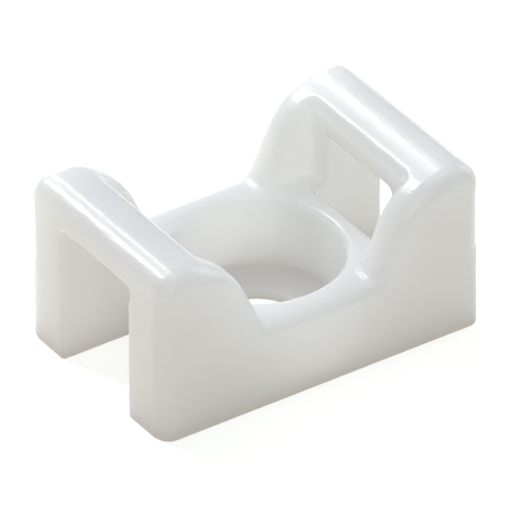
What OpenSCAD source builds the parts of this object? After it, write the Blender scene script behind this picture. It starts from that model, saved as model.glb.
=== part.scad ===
// Screw-on saddle mount for a cable tie, moulded in one piece.
// Millimetres. +X runs along the length, +Z is up.
// The origin is on the mounting face, on the axis of the screw hole.

/* [Body] */

// Overall length, from end face to end face
body_l = 22; // [20:0.2:26]
// Overall width across the two side faces
body_w = 14; // [13.2:0.2:18]
// Overall height to the crest of the ears
body_h = 10.9; // [10.2:0.1:12]
// Rounding of all edges round the side faces, and of the upright corners
edge_r = 1.1; // [0.5:0.1:1.2]

/* [Saddle] */

// Height of the flat top of the platform
platform_h = 5.3; // [4.7:0.1:5.9]
// Half length of the flat before an ear starts to rise
foot_x = 3.7; // [3.2:0.1:4]
// Fillet where the flat turns up into an ear
foot_r = 0.5; // [0.2:0.1:0.9]
// Slope of the inner side of an ear, degrees
flank_angle = 65; // [60:1:72]
// Rounding at the shoulder of an ear
shoulder_r = 1.3; // [1.2:0.1:1.6]
// How far the crest falls from its top to the shoulder
crest_drop = 1.6; // [1.2:0.1:2.2]
// Level length at the top of the crest
crest_l = 0.2; // [0.1:0.1:0.6]
// Rounding between the crest and the end face
brow_r = 1.5; // [1.2:0.1:1.9]

/* [Screw] */

// Diameter of the recess for the screw head
recess_d = 10.4; // [9.4:0.1:10.8]
// Thickness of the floor left under the screw head
floor_t = 0.8; // [0.6:0.1:2]
// Clearance hole for the screw
screw_d = 5.3; // [4.2:0.1:6]
// Rounding of the recess rim
rim_r = 0.3; // [0.2:0.1:0.4]

/* [Strap path] */

// Wall left between the recess and each strap slot
recess_wall = 1; // [0.7:0.1:1.4]
// Gap for the strap between the platform and each end frame
strap_gap = 0.8; // [0.6:0.1:1.2]
// Width of the strap slot between the two legs
slot_w = 6.6; // [5.4:0.1:7.6]
// Height of the strap slot above the mounting face
slot_h = 8.6; // [8:0.1:8.9]
// Width of the channel between the cheeks
channel_w = 9.3; // [8.2:0.1:9.6]

/* [Hidden] */

$fn = 72;
cut = 1;
half_l = body_l / 2;
half_w = body_w / 2;
platform_x = recess_d / 2 + recess_wall;
frame_x = platform_x + strap_gap;

// Centre of the brow, and where the level top of the crest starts.
brow_x = half_l - brow_r;
brow_z = body_h - brow_r;
crest_x = brow_x - crest_l;

// The crest arc runs from there down to the flank, which it meets at the crest's drop.
crest_run = crest_x - foot_x - (body_h - crest_drop - platform_h) / tan(flank_angle);
crest_r = (crest_run * crest_run + crest_drop * crest_drop) / (2 * crest_drop);
crest_z = body_h - crest_r;

// Unit vector up along the flank.
up_x = cos(flank_angle);
up_z = sin(flank_angle);

// Centre of the shoulder, which rounds the corner between the flank and the crest arc.
lead_x = foot_x + shoulder_r * up_z - crest_x;
lead_z = platform_h - shoulder_r * up_x - crest_z;
along = lead_x * up_x + lead_z * up_z;
reach = crest_r - shoulder_r;
rise = sqrt(along * along - lead_x * lead_x - lead_z * lead_z + reach * reach) - along;
shoulder_x = crest_x + lead_x + rise * up_x;
shoulder_z = crest_z + lead_z + rise * up_z;
blend_angle = atan2(shoulder_z - crest_z, shoulder_x - crest_x);

// Centre of the foot fillet, and the length of flank that stays straight.
foot_run = foot_r * tan(flank_angle / 2);
foot_cx = foot_x - foot_run;
foot_cz = platform_h + foot_r;
flank_l = rise - foot_run;

// One ear seen from the side, from its foot out to the end face.
// A positive inset gives the same outline moved inwards, all but its foot line.
module ear_outline(inset = 0) {
    crest = crest_r - inset;
    shoulder = shoulder_r - inset;
    foot = foot_r + inset;
    blend = [crest_x + crest * cos(blend_angle), crest_z + crest * sin(blend_angle)];
    flank_top = [shoulder_x - shoulder * up_z, shoulder_z + shoulder * up_x];
    flank_foot = [foot_cx + foot * up_z, foot_cz - foot * up_x];
    corner = [foot_cx + foot * tan(flank_angle / 2), platform_h - inset];
    union() {
        polygon([
            [0, 0],
            [half_l - inset, 0],
            [half_l - inset, brow_z],
            [brow_x, body_h - inset],
            [crest_x, body_h - inset],
            blend,
            flank_top,
            corner,
            [0, platform_h - inset]
        ]);
        intersection() {
            translate([crest_x, crest_z])
                circle(r = crest);
            polygon([
                [crest_x, crest_z],
                [crest_x, body_h + cut],
                [blend[0] - cut, body_h + cut],
                blend
            ]);
        }
        translate([shoulder_x, shoulder_z])
            circle(r = shoulder);
        translate([brow_x, brow_z])
            circle(r = brow_r - inset);
        difference() {
            polygon([
                [foot_cx, platform_h - inset],
                corner,
                flank_foot
            ]);
            translate([foot_cx, foot_cz])
                circle(r = foot);
        }
    }
}

// Section of an edge rounding: outwards from the inset outline, and towards the side face.
module edge_section() {
    intersection() {
        circle(r = edge_r);
        square(edge_r);
    }
}

// Rounding along a straight part of the outline, which lies to its left.
module straight_edge(start, angle, length) {
    translate([start[0], start[1], half_w - edge_r])
        rotate([0, 0, angle])
            rotate([90, 0, 90])
                linear_extrude(height = length)
                    edge_section();
}

// Rounding round an outward arc of the outline.
module arc_edge(centre, radius, from, to) {
    translate([centre[0], centre[1], half_w - edge_r])
        rotate([0, 0, from])
            rotate_extrude(angle = to - from)
                translate([radius - edge_r, 0])
                    edge_section();
}

// Rounding round the foot, where the outline curves the other way.
module foot_edge() {
    translate([foot_cx, foot_cz, half_w - edge_r])
        rotate([0, 0, -90])
            rotate_extrude(angle = flank_angle)
                translate([foot_r + edge_r, 0])
                    mirror([1, 0])
                        edge_section();
}

// All the edge roundings of one ear on one side face, down to its upright corner.
module ear_edges() {
    foot = foot_r + edge_r;
    straight_edge([0, platform_h - edge_r], 0, foot_cx);
    foot_edge();
    straight_edge([foot_cx + foot * up_z, foot_cz - foot * up_x], flank_angle, flank_l);
    arc_edge([shoulder_x, shoulder_z], shoulder_r, blend_angle, flank_angle + 90);
    arc_edge([crest_x, crest_z], crest_r, 90, blend_angle);
    straight_edge([crest_x, body_h - edge_r], 0, crest_l);
    arc_edge([brow_x, brow_z], brow_r, 0, 90);
    straight_edge([half_l - edge_r, brow_z], -90, brow_z);
}

// Both ears in side view.
module side_outline(inset = 0) {
    union() {
        ear_outline(inset);
        mirror([1, 0])
            ear_outline(inset);
    }
}

// Saddle block with its edges rounded, before anything is cut out of it.
module saddle_block() {
    rotate([90, 0, 0])
        union() {
            linear_extrude(height = body_w - 2 * edge_r, center = true)
                side_outline();
            linear_extrude(height = body_w, center = true)
                side_outline(edge_r);
            for (end = [0, 1], side = [0, 1]) {
                mirror([end, 0, 0])
                    mirror([0, 0, side])
                        ear_edges();
            }
        }
}

// Channel over the platform, between the cheeks and the two end frames.
module channel() {
    translate([-frame_x, -channel_w / 2, platform_h])
        cube([2 * frame_x, channel_w, body_h]);
}

// Strap slot at the +X end, open at the end face and at the mounting face.
module strap_slot() {
    translate([platform_x, -slot_w / 2, -cut])
        cube([half_l - platform_x + cut, slot_w, slot_h + cut]);
}

// Recess for the screw head, with a rounded rim.
module head_recess() {
    translate([0, 0, floor_t])
        cylinder(d = recess_d, h = body_h);
    translate([0, 0, platform_h - rim_r])
        rotate_extrude()
            difference() {
                translate([recess_d / 2 - cut, 0])
                    square([cut + rim_r, cut]);
                translate([recess_d / 2 + rim_r, 0])
                    circle(r = rim_r);
                translate([recess_d / 2 + rim_r, 0])
                    square(cut);
            }
}

// Clearance hole for the screw.
module screw_hole() {
    translate([0, 0, -cut])
        cylinder(d = screw_d, h = floor_t + 2 * cut);
}

module mount_body() {
    color([0.93, 0.94, 0.93])
    difference() {
        saddle_block();
        channel();
        strap_slot();
        mirror([1, 0, 0])
            strap_slot();
        head_recess();
        screw_hole();
    }
}

mount_body();
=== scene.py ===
"""A screw-on saddle mount for a cable tie, moulded in one piece of natural nylon.

The body is drawn as a distance field in millimetres, with every edge rounded as
the mould rounds it, and meshed from that field inside the box of the CAD solid.
"""

import math

import bpy
import numpy as np
from mathutils import Matrix, Vector


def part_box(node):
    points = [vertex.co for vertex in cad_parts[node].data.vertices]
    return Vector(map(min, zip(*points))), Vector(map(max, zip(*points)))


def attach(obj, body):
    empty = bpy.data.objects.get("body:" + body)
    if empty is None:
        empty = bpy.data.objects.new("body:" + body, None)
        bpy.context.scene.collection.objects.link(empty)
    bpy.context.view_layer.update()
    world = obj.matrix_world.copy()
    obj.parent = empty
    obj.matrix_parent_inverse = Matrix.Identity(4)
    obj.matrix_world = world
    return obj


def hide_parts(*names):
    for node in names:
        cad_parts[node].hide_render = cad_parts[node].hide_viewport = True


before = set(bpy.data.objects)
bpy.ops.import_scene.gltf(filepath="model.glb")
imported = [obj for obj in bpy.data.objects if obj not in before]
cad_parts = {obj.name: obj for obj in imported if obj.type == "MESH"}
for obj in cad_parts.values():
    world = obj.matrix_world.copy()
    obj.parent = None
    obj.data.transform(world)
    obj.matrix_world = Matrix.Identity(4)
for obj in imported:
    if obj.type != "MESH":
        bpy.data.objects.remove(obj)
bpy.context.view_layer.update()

MM = 0.001
low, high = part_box("mount_body")

# ---------------------------------------------------------------- sizes, mm

HALF_L = (high[0] - low[0]) / 2 / MM
HALF_W = (high[1] - low[1]) / 2 / MM
BODY_H = high[2] / MM
PLATFORM_H = 5.3
PLATFORM_X = 6.2
FOOT_X = 3.7
FOOT_R = 0.5
FLANK_ANGLE = 65.0
CREST_FLAT = 0.1
BROW_R = 1.5
SLOT_W = 6.6
SLOT_H = 8.6
FRAME_T = 4.0
CHANNEL_W = 9.3
RECESS_D = 10.4
FLOOR_T = 0.8
SCREW_D = 5.3

# How far the mould rounds each kind of edge.
OUTER_EDGE = 1.1
UPRIGHT_EDGE = 1.3
CHEEK_EDGE = 0.6
SLOT_EDGE = 0.35
SLOT_TOP_EDGE = 0.7
BASE_EDGE = 0.2
RIM_EDGE = 0.35
RECESS_CORNER = 0.3
HOLE_EDGE = 0.12
CORNER_ROOT = 0.3

MESH_STEP = 0.13

# Heights between which the crests' scratches set in.
WEAR_FROM = 8.8
WEAR_FULL = 10.2

# Lamps stand this far from the mount, in metres.
LAMP_DISTANCE = 0.6


# ------------------------------------------------------------ side outline

def arc(x, z, radius, start, end, parts):
    """Points along an arc, without its first one; angles in radians."""
    turns = np.linspace(start, end, parts + 1)[1:]
    return [(x + radius * math.cos(t), z + radius * math.sin(t)) for t in turns]


def side_outline():
    """Half of the side view, from the middle of the saddle out to the end face."""
    slope = math.radians(FLANK_ANGLE)
    up_x, up_z = math.cos(slope), math.sin(slope)
    crest_x = HALF_L - BROW_R - CREST_FLAT
    crest_r = ((crest_x - FOOT_X) * up_z - (BODY_H - PLATFORM_H) * up_x) / (1 - up_x)
    foot_run = FOOT_R * math.tan(slope / 2)
    quarter = math.pi / 2
    points = [(-1.0, PLATFORM_H), (FOOT_X - foot_run, PLATFORM_H)]
    points += arc(FOOT_X - foot_run, PLATFORM_H + FOOT_R, FOOT_R, -quarter, slope - quarter, 10)
    points.append((crest_x - crest_r * up_z, BODY_H - crest_r * (1 - up_x)))
    points += arc(crest_x, BODY_H - crest_r, crest_r, quarter + slope, quarter, 48)
    points.append((HALF_L - BROW_R, BODY_H))
    points += arc(HALF_L - BROW_R, BODY_H - BROW_R, BROW_R, quarter, 0, 24)
    points.append((HALF_L, -5.0))
    return points


OUTLINE = side_outline()


def above_outline(x, z):
    """Signed distance to the side outline, negative below it."""
    nearest = np.full(x.shape, 1e9)
    side = np.ones(x.shape)
    for (x0, z0), (x1, z1) in zip(OUTLINE[:-1], OUTLINE[1:]):
        run, climb = x1 - x0, z1 - z0
        square = run * run + climb * climb
        if square == 0:
            continue
        t = np.clip(((x - x0) * run + (z - z0) * climb) / square, 0, 1)
        away_x, away_z = x - x0 - t * run, z - z0 - t * climb
        distance = away_x ** 2 + away_z ** 2
        closer = distance < nearest
        nearest = np.where(closer, distance, nearest)
        side = np.where(closer, np.where(run * away_z - climb * away_x >= 0, 1.0, -1.0), side)
    return np.sqrt(nearest) * side


# ---------------------------------------------------------- the body's field

def keep_both(a, b, radius):
    """Where two fields overlap, with the edge between them rounded."""
    over = np.hypot(np.maximum(a + radius, 0), np.maximum(b + radius, 0))
    return np.minimum(np.maximum(a, b), -radius) + over


def join(a, b, radius):
    """Two fields joined, with a fillet between them."""
    return -keep_both(-a, -b, radius)


def ease(value, middle, width):
    """Smooth step from 0 to 1 across a width."""
    t = np.clip((value - middle) / width + 0.5, 0, 1)
    return t * t * (3 - 2 * t)


def body_field(x, y, z, above):
    """Signed distance to the moulding, negative inside it."""
    far_x, far_y = np.abs(x), np.abs(y)
    around = np.hypot(x, y)

    channel = keep_both(far_y - CHANNEL_W / 2, far_x - (HALF_L - FRAME_T), CORNER_ROOT)
    ears = keep_both(above, -channel, CHEEK_EDGE)
    base = np.maximum(z - PLATFORM_H, far_x - HALF_L)
    root = CORNER_ROOT * ease(far_x, FOOT_X, 0.9) * (1 - ease(far_x, HALF_L - 3, 0.8))
    body = join(ears, base, root + 1e-4)

    upright = ease(far_x, HALF_L - 1.1, 1.0) * (1 - ease(z, BODY_H - 1.7, 1.8))
    body = keep_both(body, far_y - HALF_W, OUTER_EDGE + (UPRIGHT_EDGE - OUTER_EDGE) * upright)

    slot = keep_both(PLATFORM_X - far_x, far_y - SLOT_W / 2, SLOT_EDGE)
    slot = keep_both(slot, z - SLOT_H, SLOT_EDGE)
    mouth = ease(z, SLOT_H - 0.6, 0.8) * ease(far_x, HALF_L - 1.5, 1.0)
    body = keep_both(body, -slot, SLOT_EDGE + (SLOT_TOP_EDGE - SLOT_EDGE) * mouth)

    recess = keep_both(around - RECESS_D / 2, FLOOR_T - z, RECESS_CORNER)
    body = keep_both(body, -recess, RIM_EDGE)
    body = keep_both(body, SCREW_D / 2 - around, HOLE_EDGE)
    return keep_both(body, -z, BASE_EDGE)


def field_at(points):
    """The body's field at a list of points."""
    x, y, z = points.T
    return body_field(x, y, z, above_outline(np.abs(x), z))


# ------------------------------------------------------------------ meshing

def sample_grid():
    """The field on a regular grid, and the grid's first corner."""
    half_x = math.ceil((HALF_L + 0.3) / MESH_STEP)
    half_y = math.ceil((HALF_W + 0.3) / MESH_STEP)
    xs = (np.arange(-half_x, half_x) + 0.5) * MESH_STEP
    ys = (np.arange(-half_y, half_y) + 0.5) * MESH_STEP
    zs = np.arange(-0.3, BODY_H + 0.3 + MESH_STEP, MESH_STEP)
    flat_x, flat_z = np.meshgrid(xs, zs, indexing="ij")
    above = above_outline(np.abs(flat_x), flat_z)[:, None, :]
    values = body_field(xs[:, None, None], ys[None, :, None], zs[None, None, :], above)
    return values, np.array([xs[0], ys[0], zs[0]])


def surface_quads(values, first):
    """One vertex in each cell that the surface crosses, one quad for each crossed grid edge."""
    inside = values < 0
    steps = [np.array((i, j, k)) for i in (0, 1) for j in (0, 1) for k in (0, 1)]
    nx, ny, nz = (n - 1 for n in inside.shape)
    count = sum(inside[i:nx + i, j:ny + j, k:nz + k].astype(np.int8) for i, j, k in steps)
    crossed = (count > 0) & (count < 8)
    cells = np.argwhere(crossed)
    number = np.full(crossed.shape, -1, np.int64)
    number[crossed] = np.arange(len(cells))

    total = np.zeros((len(cells), 3))
    hits = np.zeros(len(cells))
    for a in steps:
        for b in steps:
            if (b - a).min() < 0 or (b - a).sum() != 1:
                continue
            start, end = cells + a, cells + b
            value_a = values[tuple(start.T)]
            value_b = values[tuple(end.T)]
            cut = (value_a < 0) != (value_b < 0)
            share = np.where(cut, value_a / np.where(cut, value_a - value_b, 1), 0)[:, None]
            total += np.where(cut[:, None], start + share * (end - start), 0)
            hits += cut
    points = first + total / hits[:, None] * MESH_STEP

    quads = []
    for axis in range(3):
        near = [slice(1, -1)] * 3
        near[axis] = slice(0, -1)
        far = list(near)
        far[axis] = slice(1, None)
        starts_inside = inside[tuple(near)]
        edges = np.argwhere(starts_inside != inside[tuple(far)])
        outward = starts_inside[tuple(edges.T)]
        if axis == 1:
            outward = ~outward
        first_way, second_way = [k for k in range(3) if k != axis]
        ring = []
        for i, j in ((0, 0), (1, 0), (1, 1), (0, 1)):
            cell = edges.copy()
            cell[:, first_way] += i
            cell[:, second_way] += j
            ring.append(number[tuple(cell.T)])
        ring = np.stack(ring, -1)
        quads.append(np.where(outward[:, None], ring, ring[:, ::-1]))
    return points, np.concatenate(quads)


def settle(points):
    """Moves each vertex along the field's slope until it lies on the surface."""
    nudge = 0.01
    for _ in range(3):
        here = field_at(points)
        slope = np.stack([field_at(points + nudge * axis) - here for axis in np.eye(3)], -1) / nudge
        steep = np.maximum((slope ** 2).sum(1), 0.25)
        points = points - np.clip(here / steep, -0.1, 0.1)[:, None] * slope
    return points


def moulding():
    """The whole mount as one closed mesh, its place in the mesh itself."""
    points, quads = surface_quads(*sample_grid())
    points = settle(points)
    points = np.clip(points, (-HALF_L, -HALF_W, 0), (HALF_L, HALF_W, BODY_H)) * MM
    mesh = bpy.data.meshes.new("moulding")
    mesh.from_pydata(points.tolist(), [], quads.tolist())
    mesh.polygons.foreach_set("use_smooth", [True] * len(mesh.polygons))
    mesh.update()
    piece = bpy.data.objects.new("moulding", mesh)
    bpy.context.scene.collection.objects.link(piece)
    return piece


# ---------------------------------------------------------------- materials

class Wire:
    """A shader socket that takes part in arithmetic."""

    def __init__(self, finish, socket):
        self.finish = finish
        self.socket = socket

    def math(self, operation, *values):
        return self.finish.node("ShaderNodeMath", {"operation": operation}, dict(enumerate(values)))

    def __add__(self, other):
        return self.math("ADD", self, other)

    def __radd__(self, other):
        return self.math("ADD", other, self)

    def __mul__(self, other):
        return self.math("MULTIPLY", self, other)

    def __rmul__(self, other):
        return self.math("MULTIPLY", other, self)


class Finish:
    """A material and the way its nodes are made."""

    def __init__(self, name):
        self.material = bpy.data.materials.new(name)
        self.material.use_nodes = True
        self.tree = self.material.node_tree
        self.tree.nodes.clear()

    def node(self, kind, settings=None, sockets=None, output=0):
        """Adds a node: its settings first, then the values or links of its sockets."""
        made = self.tree.nodes.new(kind)
        for key, value in (settings or {}).items():
            setattr(made, key, value)
        for key, value in (sockets or {}).items():
            if isinstance(value, Wire):
                self.tree.links.new(value.socket, made.inputs[key])
            else:
                made.inputs[key].default_value = value
        return Wire(self, made.outputs[output]) if len(made.outputs) else None

    def surface(self, shader):
        """Sends a shader to the material's output."""
        self.node("ShaderNodeOutputMaterial", None, {"Surface": shader})
        return self.material


def nylon():
    """Milky natural nylon: satin, faintly mottled, lets light through its edges."""
    finish = Finish("natural_nylon")
    place = finish.node("ShaderNodeTexCoord", None, None, "Object")
    cloud = finish.node("ShaderNodeTexNoise", None, {"Vector": place, "Scale": 180.0, "Detail": 3.0})
    grain = finish.node("ShaderNodeTexNoise", None, {"Vector": place, "Scale": 2600.0, "Detail": 2.0})
    tone = finish.node(
        "ShaderNodeMix",
        {"data_type": "RGBA"},
        {"Factor": cloud, "A": (0.935, 0.938, 0.925, 1.0), "B": (0.965, 0.966, 0.955, 1.0)},
        2,
    )
    # Fine scratches that lie across the mount, strongest on the crests.
    along = finish.node(
        "ShaderNodeMapping",
        None,
        {"Vector": place, "Rotation": (0.0, 0.0, 0.3), "Scale": (1.0, 0.25, 1.0)},
    )
    scratch = finish.node("ShaderNodeTexNoise", None, {"Vector": along, "Scale": 7000.0, "Detail": 3.0})
    height = finish.node("ShaderNodeSeparateXYZ", None, {"Vector": place}, "Z")
    crest = finish.node(
        "ShaderNodeMapRange",
        {"interpolation_type": "SMOOTHSTEP"},
        {"Value": height, "From Min": WEAR_FROM * MM, "From Max": WEAR_FULL * MM},
    )
    fine = finish.node("ShaderNodeBump", None, {"Strength": 0.06, "Distance": 0.00002, "Height": grain})
    wear = scratch * (0.14 + 0.86 * crest)
    bump = finish.node(
        "ShaderNodeBump",
        None,
        {"Strength": 0.58, "Distance": 0.00003, "Height": wear, "Normal": fine},
    )
    shader = finish.node(
        "ShaderNodeBsdfPrincipled",
        None,
        {
            "Base Color": tone,
            "Roughness": 0.17 + 0.1 * cloud,
            "IOR": 1.5,
            "Subsurface Weight": 1.0,
            "Subsurface Radius": (1.0, 1.0, 0.9),
            "Subsurface Scale": 0.008,
            "Normal": bump,
        },
    )
    return finish.surface(shader)


def studio_floor():
    """A pale sweep that the camera sees as white, with the mount's shadow on it."""
    finish = Finish("studio_floor")
    rays = finish.node("ShaderNodeLightPath", None, None, "Is Camera Ray")
    mirrored = finish.node("ShaderNodeLightPath", None, None, "Is Glossy Ray")
    through = finish.node("ShaderNodeLightPath", None, None, "Is Transmission Ray")
    seen = rays.math("MAXIMUM", rays, mirrored)
    seen = seen.math("MAXIMUM", seen, through)
    matt = finish.node("ShaderNodeBsdfDiffuse", None, {"Color": (0.70, 0.645, 0.56, 1.0)})
    tint = finish.node(
        "ShaderNodeMix",
        {"data_type": "RGBA"},
        {"Factor": seen, "A": (1.0, 0.95, 0.87, 1.0), "B": (0.92, 0.97, 1.0, 1.0)},
        2,
    )
    glow = finish.node("ShaderNodeEmission", None, {"Color": tint, "Strength": 0.17 + 0.5 * seen})
    return finish.surface(finish.node("ShaderNodeAddShader", None, {0: matt, 1: glow}))


# -------------------------------------------------------------------- scene

piece = moulding()
piece.data.materials.append(nylon())
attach(piece, "root")
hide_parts("mount_body")

bpy.ops.mesh.primitive_plane_add(size=6.0, location=(0, 0, 0))
floor = bpy.context.object
floor.name = "floor"
floor.data.materials.append(studio_floor())

world = bpy.data.worlds.new("studio")
bpy.context.scene.world = world
world.use_nodes = True
sky = world.node_tree.nodes["Background"]
sky.inputs["Color"].default_value = (0.95, 0.975, 1.0, 1.0)
sky.inputs["Strength"].default_value = 0.24


def softbox(name, toward, width, height, power, colour):
    """A rectangular lamp that faces the mount from the given direction."""
    data = bpy.data.lights.new(name, "AREA")
    data.shape = "RECTANGLE"
    data.size = width
    data.size_y = height
    data.energy = power
    data.color = colour
    lamp = bpy.data.objects.new(name, data)
    away = Vector(toward).normalized()
    lamp.location = away * LAMP_DISTANCE
    lamp.rotation_euler = away.to_track_quat("Z", "Y").to_euler()
    bpy.context.scene.collection.objects.link(lamp)
    return lamp


softbox("top_softbox", (0.05, 0.05, 1.0), 0.35, 0.35, 0.62, (0.76, 0.91, 1.0))
softbox("back_softbox", (-0.12, 0.7, 0.7), 0.35, 0.35, 0.7, (1.0, 0.98, 0.98))
softbox("right_softbox", (1.0, 0.1, 0.5), 0.35, 0.35, 0.65, (0.85, 0.95, 1.0))
softbox("camera_softbox", (-0.46, -0.69, 0.565), 0.35, 0.35, 0.58, (1.0, 0.96, 0.9))
softbox("rim_softbox", (0.3, 1.0, 0.15), 0.35, 0.35, 0.8, (0.71, 0.82, 1.0))
softbox("brow_strip", (-0.26, 0.69, 0.68), 0.02, 0.2, 0.65, (1.0, 1.0, 1.0))
softbox("crest_strip", (0.245, 0.69, 0.684), 0.07, 0.2, 0.38, (1.0, 1.0, 1.0))

# ------------------------------------------------------------------- camera

VIEW_TURN = 33.8
VIEW_HEIGHT = 34.43
VIEW_ROLL = -0.31
VIEW_DISTANCE = 850.0
FRAME_MM = 29.43
AIM = (0.095, 3.94)

turn, tilt, roll = (math.radians(a) for a in (VIEW_TURN, VIEW_HEIGHT, VIEW_ROLL))
forward = Vector((math.sin(turn) * math.cos(tilt), math.cos(turn) * math.cos(tilt), -math.sin(tilt)))
level = Vector((math.cos(turn), -math.sin(turn), 0))
upright = level.cross(forward)
right = level * math.cos(roll) + upright * math.sin(roll)
up = upright * math.cos(roll) - level * math.sin(roll)
eye = (-forward * VIEW_DISTANCE + right * AIM[0] + up * AIM[1]) * MM

camera_data = bpy.data.cameras.new("camera")
camera_data.sensor_width = 36.0
camera_data.lens = 36.0 * VIEW_DISTANCE / FRAME_MM
camera = bpy.data.objects.new("camera", camera_data)
axes = Matrix((right, up, -forward)).transposed().to_4x4()
camera.matrix_world = Matrix.Translation(eye) @ axes
bpy.context.scene.collection.objects.link(camera)
bpy.context.scene.camera = camera
bpy.context.scene.view_settings.view_transform = "Standard"
